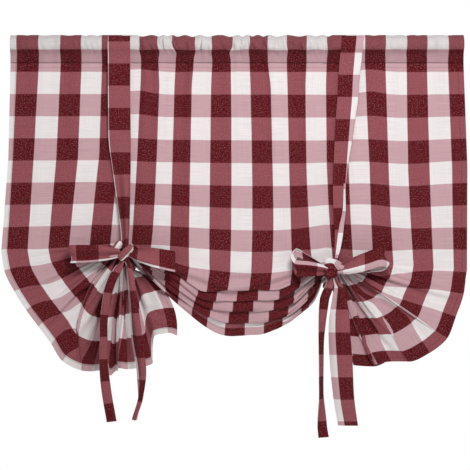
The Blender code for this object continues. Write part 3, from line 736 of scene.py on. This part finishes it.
# Right front strap: z, left edge x, depth, width that shows, and how much narrower the cloth is drawn.
RIGHT_STRAP_EDGE = [
    (-3, 234.2, -11, 50, 1), (-10, 234, -17.4, 50, 1), (-21, 233, -18.8, 50, 1), (-31, 232, -17.8, 50, 1),
    (-42, 231, -11.5, 50, 1), (-55, 230, -9.5, 50, 1), (-100, 226.4, -9.5, 48.5, 1),
    (-137, 225, -9.5, 48, 0.99), (-191, 220.9, -9.5, 44.5, 0.98), (-239, 218.5, -9.5, 40, 0.95),
    (-286, 216.5, -9.5, 34, 0.9),
    (-344, 214.6, -9.5, 29, 0.84), (-394, 216, -10, 20, 0.72), (-450, 219, -15, 14, 0.62),
    (-500, 217, -27, 11, 0.6), (-517, 214, -35, 11, 0.6),
]
# Back straps: depth, z and width down the back.
BACK_STRAP_ROWS = [
    (11, -3, 50), (17.4, -10, 50), (18.8, -21, 50), (16.6, -31, 50), (11.5, -42, 50), (9, -55, 50),
    (9, -110, 50), (12, -250, 46),
]
# Then round the bunch: way inward from the knot, depth, z from the knot, width inward and width up.
BACK_STRAP_TURN = [
    (0, 28, 90, 30, 0), (0, 40, 25, 16, 0), (6, 43, -8, 11, -8), (17, 40, -33, 5, -6), (17, 25, -35, 5, -6),
    (17, -10, -34, 5, -6), (15, -25, -31, 6, -7), (5, -27, -15, 12, -7), (0, -27, 4, 14, 0),
]


def strap_back(knot, top_x):
    """Down the back, under the hem beside the bunch and up its front to the knot's back face."""
    inward = 1 if knot[0] < 0 else -1
    down = [(top_x, y, z, inward * wide, 0, 0, 0) for y, z, wide in BACK_STRAP_ROWS]
    return down + [(knot[0] + inward * x, y, knot[1] + z, inward * wide, 0, tall, 0)
                   for x, y, z, wide, tall in BACK_STRAP_TURN]


def folded_strap(name, edge, start, side, nodes, rows=150, across=41):
    """A strap whose far edge turns under: cloth past the fold runs back behind the part that shows."""
    edge = np.asarray(edge, float)
    step = np.hypot(np.hypot(*np.diff(edge[:, :2], axis=0).T), np.diff(edge[:, 2]))
    run = np.concatenate([[0], np.cumsum(step)])
    at = np.interp(np.linspace(0, len(run) - 1, rows), np.arange(len(run)), run)
    z, left, depth, shows, drawn = (smooth(at, run, edge[:, i])[:, None] for i in range(5))
    c = np.linspace(0, STRAP_CLOTH, across)[None, :]
    past = c - shows / drawn
    bend = np.sqrt(past**2 + 1.2**2) - 1.2
    turned = (past + bend) / 2
    x = left + drawn * (c - 2 * turned)
    beyond = (left + 1.5 - x) * (past > 0)
    x = np.where(beyond > 0, x + 2 * beyond, x)
    y = depth + 1.3 * (1 + np.tanh(past / 1.5)) * (shows < 49.5) + 0.5 * np.sin(c / 6 + z / 30)
    y = y + 1.4 * (1 + np.tanh(beyond / 1.2)) * (past > 0) * (shows < 49.5)
    grid = np.stack([x, y, z + 0 * c], -1)
    flat = np.stack([c + side + 0 * z, at[:, None] + start + 0 * c], -1)
    return cloth(name, grid, flat, STRAP_THICK, nodes)


# A bow loop: share of its reach, depth and share of its height, out behind and back in front.
LOOP_ROWS = [
    (0, 4.5, 0.42), (0.25, 7, 0.75), (0.6, 9, 0.95), (0.9, 7, 1), (1, 0, 1),
    (0.9, -7, 1), (0.6, -9, 0.95), (0.25, -7, 0.75), (0, -4.5, 0.42),
]


def loop_stations(knot, side, reach, drop, height, rise=0.0, lift=0.0, behind=1.0):
    """One bow loop: out behind, lifted and as tall as it shows there, round at the end, and back in front."""
    x0 = knot[0] + side * (KNOT_HALF[0] + 0.3)
    z0 = knot[1] + rise
    out = []
    for share, depth, tall in LOOP_ROWS:
        x = x0 + side * share * (reach - KNOT_HALF[0])
        rear = (np.clip(depth / 7, -1, 1) + 1) / 2
        tall = tall * (1 + (behind - 1) * rear)
        z = z0 + drop * share + lift * share * rear
        out.append((x, KNOT_Y + depth, z, 0, 0, -side * height * tall, 0))
    return out


def tail_stations(knot, side, rows):
    """A free end from the knot's foot; rows give x and z from the knot, depth, width x and y, cupping."""
    out = [(knot[0] + side * 5.5, KNOT_Y, knot[1] - KNOT_HALF[2] - 0.9, 9, 0, 0, 0)]
    out.append((knot[0] + side * 6, KNOT_Y, knot[1] - KNOT_HALF[2] - 6, 9, 1, 0, 0))
    return out + [(knot[0] + x, y, knot[1] + z, wx, wy, 0, cup) for x, z, y, wx, wy, cup in rows]


def wrapped_turn(centre, half, tilt, along, across):
    """One turn of a knot: a rounded barrel, creased along its length and tilted in the view's plane."""
    turns = np.linspace(0, 2 * np.pi, 57)[:-1]
    down, around = np.meshgrid(np.linspace(0.03, np.pi - 0.03, 40), turns, indexing="ij")
    ring = np.sin(down) ** 0.55
    crease = 1 + 0.07 * np.sin(5 * around + 1.2 * down) * np.sin(down) + 0.04 * np.sin(11 * around + 2)
    place = np.stack([
        half[0] * ring * np.cos(around) * crease, half[1] * ring * np.sin(around) * crease,
        half[2] * np.sign(np.cos(down)) * np.abs(np.cos(down)) ** 0.75], -1)
    turn = np.array([[np.cos(tilt), 0, np.sin(tilt)], [0, 1, 0], [-np.sin(tilt), 0, np.cos(tilt)]])
    flat = np.stack([
        across + (np.cos(around) * 0.5 + 0.5) * 1.6 * half[0], along + down / np.pi * 2 * half[2]], -1)
    index = np.arange(down.size).reshape(down.shape)
    index = np.concatenate([index, index[:, :1]], 1)
    faces = quads(index)[:, ::-1].tolist() + [index[0, :-1].tolist(), index[-1, -2::-1].tolist()]
    return (place @ turn.T + np.array(centre)).reshape(-1, 3), faces, flat.reshape(-1, 2)


def knot_cloth(name, turns, node):
    """A tied knot from its wrapped turns, all in one piece."""
    points, faces, flats, count = [], [], [], 0
    for turn in turns:
        p, f, flat = wrapped_turn(*turn)
        faces += [[i + count for i in face] for face in f]
        points.append(p)
        flats.append(flat)
        count += len(p)
    return mesh_piece(
        name, np.concatenate(points), faces, np.concatenate(flats), (FACE_CLOTH,), [node])


# Turns of each knot: centre, half sizes, tilt, and the check along and across each.
LEFT_TURNS = [
    ((-249, -39, -490), (9.5, 9.5, 21), 0.75, -12, 52),
    ((-268, -32, -475), (8, 6, 13), 0.6, 83, -40),
    ((-251, -35, -500), (11, 8, 10), 0.0, 33, 17),
]
RIGHT_TURNS = [
    ((208, -38, -530), (15, 11.5, 17), -0.15, 35, 15),
    ((229, -37, -522), (8.5, 9, 17), -0.75, 35, -35),
    ((212, -35, -512), (17, 8, 9), 0.25, -12, -35),
]
# Each bow. Start and side are where the check begins along and across its front strap. A loop is its
# shape and then both of these, and a tail is its side, both of these and its rows.
BOWS = {
    "left": {
        "knot": KNOT_LEFT, "turns": LEFT_TURNS, "top": STRAP_TOP_X[0], "start": -33, "side": 12.6,
        "loops": [((-1, 122, -2, 40, 1), 3, 9), ((1, 112, -20, 46, 2), 40, 19)],
        "tails": [
            (-1, 0, 22, [
                (-15, -32, -42, 11, 14, 2), (-30, -60, -48, 11, 28, 3), (-40, -90, -50, 9, 32, 4),
                (-49, -165, -46, 8, 36, 4), (-49, -235, -44, 11, 36, 4), (-43, -300, -41, 16, 32, 3),
                (-30, -376, -38, 16, 26, 2)]),
            (1, -41, 6, [
                (12, -40, -50, 15, -26, 3), (20, -110, -52, 21, -30, 5), (28, -190, -50, 26, -32, 5),
                (38, -270, -46, 22, -32, 4), (36, -320, -42, 12, -34, 3), (23, -372, -40, 3, -34, 2)]),
        ],
    },
    "right": {
        "knot": KNOT_RIGHT, "turns": RIGHT_TURNS, "top": STRAP_TOP_X[1], "start": -59, "side": 31,
        "loops": [((-1, 88, 5, 35, 2, 36, 0.62), -80, 26), ((1, 120, 34, 44, 2, -24, 0.5), 10, 31)],
        "tails": [
            (-1, 6, 17, [
                (-9, -32, -42, 12, 14, 2), (-21, -64, -49, 17, 30, 4), (-29, -170, -48, 3, 38, 4),
                (-28, -270, -44, 3, 40, 3), (-25, -345, -40, 18, 30, 3), (-21, -372, -38, 22, 28, 2)]),
            (1, 4, -3, [
                (14, -40, -51, 23, -12, 3), (14, -120, -54, 46, -16, 5), (18, -200, -52, 50, -14, 5),
                (24, -280, -48, 46, -10, 4), (34, -345, -42, 44, -8, 2)]),
        ],
    },
}

for side_name, bow in BOWS.items():
    knot = bow["knot"]
    knot_cloth(f"{side_name}_knot_cloth", bow["turns"], f"{side_name}_knot")
    strap(f"{side_name}_back_strap_cloth", strap_back(knot, bow["top"]), bow["start"],
          [f"{side_name}_back_strap"])
    for number, (shape, start, side) in enumerate(bow["loops"], 1):
        strap(f"{side_name}_loop_{number}_cloth", loop_stations(knot, *shape), start,
              [f"{side_name}_loop_{number}"], side=side)
    for number, (out, start, side, rows) in enumerate(bow["tails"], 1):
        strap(f"{side_name}_tail_{number}_cloth", tail_stations(knot, out, rows), start,
              [f"{side_name}_tail_{number}"], side=side)
left, right = BOWS["left"], BOWS["right"]
strap("left_front_strap_cloth", strap_front(KNOT_LEFT, LEFT_STRAP_ROWS), left["start"],
      ["left_front_strap"], rows=120, side=left["side"])
folded_strap("right_front_strap_cloth", RIGHT_STRAP_EDGE, right["start"], right["side"],
             ["right_front_strap"])

# The right strap's turned-over edge in front, down to its knot: x, z and width.
FLAP = [(241.5, -335, 3), (241, -390, 6), (235, -430, 10), (232, -450, 11), (227, -482, 9), (222, -503, 6)]
flap_run = [(x, -12.5 - 16 * max(0, (-z - 400) / 100), z, width, -1.5, 0, 0.6) for x, z, width in FLAP]
strap("right_strap_flap_cloth", flap_run, right["start"] + 330, [], rows=60, across=7, side=66, cut=10.5)


# Floor, camera and light, in metres
FLOOR_Z = -1.25
FLOOR_CORNERS = [(-2.5, -2.5), (2.5, -2.5), (2.5, 1.8), (-2.5, 1.8)]
CAMERA_AWAY = 5.0
SENSOR_MM = 36
VIEW_WIDTH = 1.0586
AIM = np.array([0.0, 0.0, -0.45])
# Name, place, size and power.
LIGHTS = [
    ("key", (0.3, -1.6, 0.45), 0.5, 20.5),
    ("fill", (-1.6, -2.4, -0.9), 1.8, 2),
    ("back", (0.4, 2.1, 1.3), 1.2, 24),
]
SKY_LIGHT, SKY_SEEN_EXTRA = 0.42, 0.58


def plain(name, code, roughness):
    """A plain material of one colour."""
    material = bpy.data.materials.new(name)
    material.use_nodes = True
    shader = material.node_tree.nodes["Principled BSDF"]
    shader.inputs["Base Color"].default_value = linear(code)
    shader.inputs["Roughness"].default_value = roughness
    return material


floor_mesh = bpy.data.meshes.new("floor")
floor_mesh.from_pydata([(x, y, FLOOR_Z) for x, y in FLOOR_CORNERS], [], [(0, 1, 2, 3)])
floor_mesh.materials.append(plain("pale_floor", "f2f2f0", 0.8))
floor = bpy.data.objects.new("floor", floor_mesh)
bpy.context.scene.collection.objects.link(floor)

camera = bpy.data.cameras.new("camera")
camera.sensor_width = SENSOR_MM
camera.lens = SENSOR_MM * CAMERA_AWAY / VIEW_WIDTH
camera_object = bpy.data.objects.new("camera", camera)
camera_object.location = (-0.0045, -CAMERA_AWAY, -0.4505)
camera_object.rotation_euler = (np.pi / 2, 0, 0)
bpy.context.scene.collection.objects.link(camera_object)
bpy.context.scene.camera = camera_object

for name, place, size, power in LIGHTS:
    light = bpy.data.lights.new(name, "AREA")
    light.size = size
    light.energy = power
    light_object = bpy.data.objects.new(name, light)
    light_object.location = place
    light_object.rotation_euler = Vector(AIM - place).to_track_quat("-Z", "Y").to_euler()
    bpy.context.scene.collection.objects.link(light_object)

# The backdrop is paper white to the eye, and lights the cloth less than it shows.
world = bpy.data.worlds.new("studio")
world.use_nodes = True
sky = world.node_tree
seen = add(sky, "ShaderNodeLightPath").outputs["Is Camera Ray"]
strength = add(sky, "ShaderNodeMath", {"operation": "MULTIPLY_ADD"},
               {0: seen, 1: SKY_SEEN_EXTRA, 2: SKY_LIGHT}).outputs[0]
sky.links.new(strength, sky.nodes["Background"].inputs["Strength"])
sky.nodes["Background"].inputs["Color"].default_value = (1, 1, 1, 1)
bpy.context.scene.world = world
bpy.context.scene.view_settings.view_transform = "Standard"
